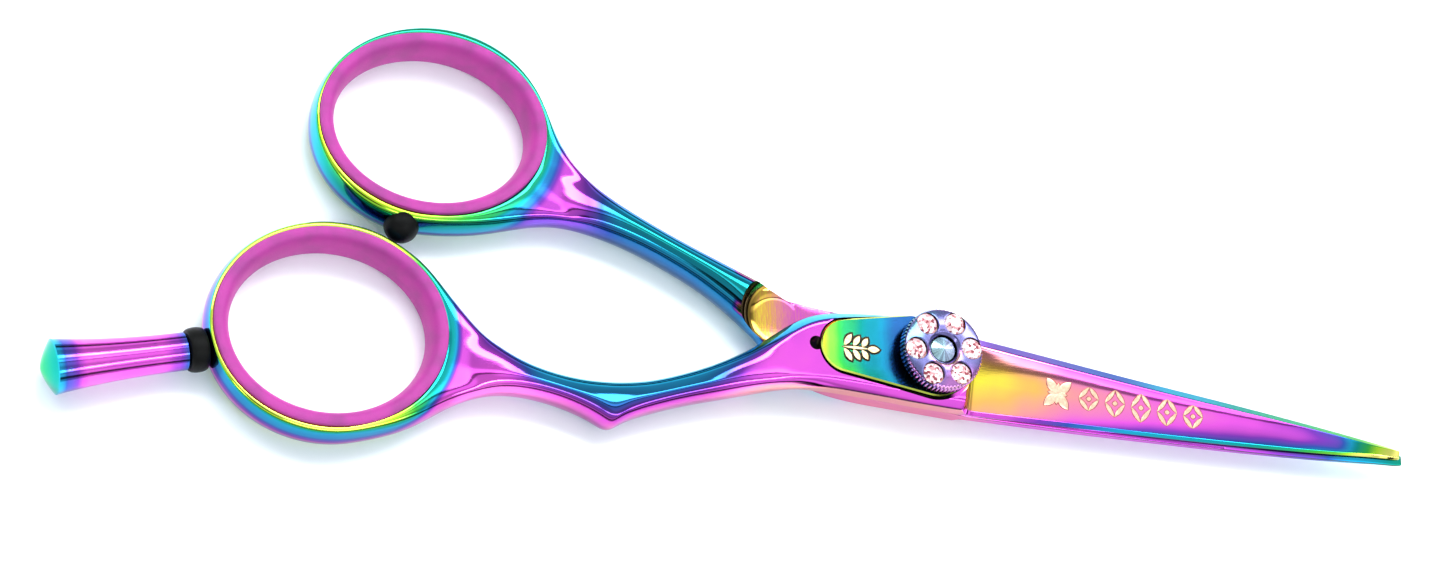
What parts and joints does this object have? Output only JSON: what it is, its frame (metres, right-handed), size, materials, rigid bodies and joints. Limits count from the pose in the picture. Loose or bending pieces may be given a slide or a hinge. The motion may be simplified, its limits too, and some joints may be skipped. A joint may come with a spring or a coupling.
{
  "type": "thinning shears",
  "caption": "Ring-handled hair thinning shears with a plain top blade, a toothed under blade, a jewelled tension knob and a screw-in finger rest.",
  "frame": {"origin": "on the pivot axis, at the flat underside of the pivot screw's head, which is on the plane that the closed shears lie on", "axes": "+X along the closed cutting line from the pivot to the tips, +Y towards the thumb ring, +Z along the pivot axis towards the tension knob"},
  "size_m": [0.1571, 0.0485, 0.0084],
  "materials": {
    "rainbow_coated_steel": "mirror-polished steel with an iridescent coat that runs through green, teal, blue and magenta",
    "green_coated_steel": "polished steel with a lime to teal iridescent coat",
    "violet_coated_steel": "satin steel with a slate violet iridescent coat and a knurled rim",
    "magenta_rubber": "matte moulded rubber",
    "black_rubber": "satin moulded rubber",
    "plain_steel": "turned and brushed",
    "white_nylon": "machined",
    "pink_crystal": "faceted and foil-backed"
  },
  "bodies": {
    "finger_half": {"finger_blade": "rainbow_coated_steel", "finger_ring_insert": "magenta_rubber", "finger_rest_stud": "plain_steel", "finger_rest_washer": "black_rubber", "tension_plate": "green_coated_steel", "pivot_screw": "plain_steel", "pivot_bush": "white_nylon", "head_washer": "white_nylon", "friction_washer": "white_nylon", "spring_washer": "plain_steel"},
    "thumb_half": {"thumb_blade": "rainbow_coated_steel", "thumb_ring_insert": "magenta_rubber", "ring_bumper": "black_rubber"},
    "finger_rest": {"finger_rest": "rainbow_coated_steel"},
    "knob": {"tension_knob": "violet_coated_steel", "knob_crystal_1": "pink_crystal", "knob_crystal_2": "pink_crystal", "knob_crystal_3": "pink_crystal", "knob_crystal_4": "pink_crystal", "knob_crystal_5": "pink_crystal", "knob_crystal_6": "pink_crystal"}
  },
  "joints": [
    {"name": "blade_pivot", "type": "hinge", "parent": "finger_half", "child": "thumb_half", "pos_m": [0, 0, 0.003], "axis": [0, 0, -1], "range_deg": [0, 62]},
    {"name": "knob_turn", "type": "hinge", "parent": "finger_half", "child": "knob", "pos_m": [0, 0, 0.0072], "axis": [0, 0, 1], "range_deg": [-60, 60]},
    {"name": "finger_rest_turn", "type": "hinge", "parent": "finger_half", "child": "finger_rest", "pos_m": [-0.08018, -0.00683, 0.0027], "axis": [-0.9676, -0.2449, 0.061], "range_deg": [-180, 180]}
  ]
}
